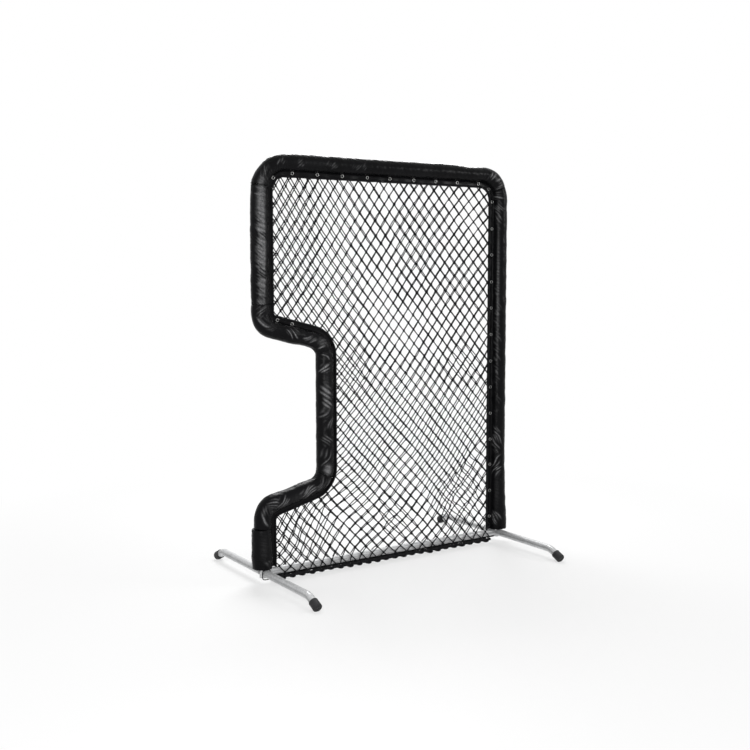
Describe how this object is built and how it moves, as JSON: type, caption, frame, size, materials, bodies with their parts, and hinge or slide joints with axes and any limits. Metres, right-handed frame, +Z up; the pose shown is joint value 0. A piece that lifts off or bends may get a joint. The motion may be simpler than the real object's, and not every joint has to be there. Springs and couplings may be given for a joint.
{
  "type": "pitching screen",
  "caption": "Free-standing padded pitching screen: tube frame with a notch in its left side, two-layer knotted net, slip-on legs with rubber caps.",
  "frame": {"origin": "on the ground under the middle of the screen", "axes": "+X along the screen to the right as seen from the front, -Y to the front, +Z up"},
  "size_m": [1.6253, 1.104, 2.138],
  "materials": {
    "galvanised_steel": "galvanised, dull grey",
    "cap_rubber": "matte moulded rubber",
    "black_vinyl": "glossy wrinkled vinyl",
    "grey_foam": "closed-cell foam",
    "black_twine": "matte twisted twine"
  },
  "bodies": {
    "screen": {"top_rail_tube": "galvanised_steel", "upper_notch_tube": "galvanised_steel", "lower_notch_tube": "galvanised_steel", "right_upper_post_tube": "galvanised_steel", "right_lower_post_tube": "galvanised_steel", "notch_post_coupler": "galvanised_steel", "left_post_coupler": "galvanised_steel", "right_upper_coupler": "galvanised_steel", "right_lower_coupler": "galvanised_steel", "bottom_rail": "galvanised_steel", "left_rail_spigot": "galvanised_steel", "right_rail_spigot": "galvanised_steel", "left_front_leg_spigot": "galvanised_steel", "left_rear_leg_spigot": "galvanised_steel", "right_front_leg_spigot": "galvanised_steel", "right_rear_leg_spigot": "galvanised_steel", "lower_left_post_foam": "grey_foam", "lower_left_post_cover": "black_vinyl", "lower_arm_foam": "grey_foam", "lower_arm_cover": "black_vinyl", "notch_post_foam": "grey_foam", "notch_post_cover": "black_vinyl", "upper_arm_foam": "grey_foam", "upper_arm_cover": "black_vinyl", "upper_left_post_foam": "grey_foam", "upper_left_post_cover": "black_vinyl", "top_rail_foam": "grey_foam", "top_rail_cover": "black_vinyl", "right_post_foam": "grey_foam", "right_post_cover": "black_vinyl", "front_net": "black_twine", "back_net": "black_twine", "bottom_lacing_rope": "black_twine", "foot_tie_cord": "black_twine"},
    "left_front_leg": {"left_front_leg_tube": "galvanised_steel", "left_front_leg_cap": "cap_rubber"},
    "left_rear_leg": {"left_rear_leg_tube": "galvanised_steel", "left_rear_leg_cap": "cap_rubber"},
    "right_front_leg": {"right_front_leg_tube": "galvanised_steel", "right_front_leg_cap": "cap_rubber"},
    "right_rear_leg": {"right_rear_leg_tube": "galvanised_steel", "right_rear_leg_cap": "cap_rubber"}
  },
  "joints": [
    {"name": "left_front_leg_slip", "type": "slide", "parent": "screen", "child": "left_front_leg", "axis": [0, -1, 0], "range_m": [0, 0.11]},
    {"name": "left_rear_leg_slip", "type": "slide", "parent": "screen", "child": "left_rear_leg", "axis": [0, 1, 0], "range_m": [0, 0.11]},
    {"name": "right_front_leg_slip", "type": "slide", "parent": "screen", "child": "right_front_leg", "axis": [0, -1, 0], "range_m": [0, 0.11]},
    {"name": "right_rear_leg_slip", "type": "slide", "parent": "screen", "child": "right_rear_leg", "axis": [0, 1, 0], "range_m": [0, 0.11]}
  ]
}
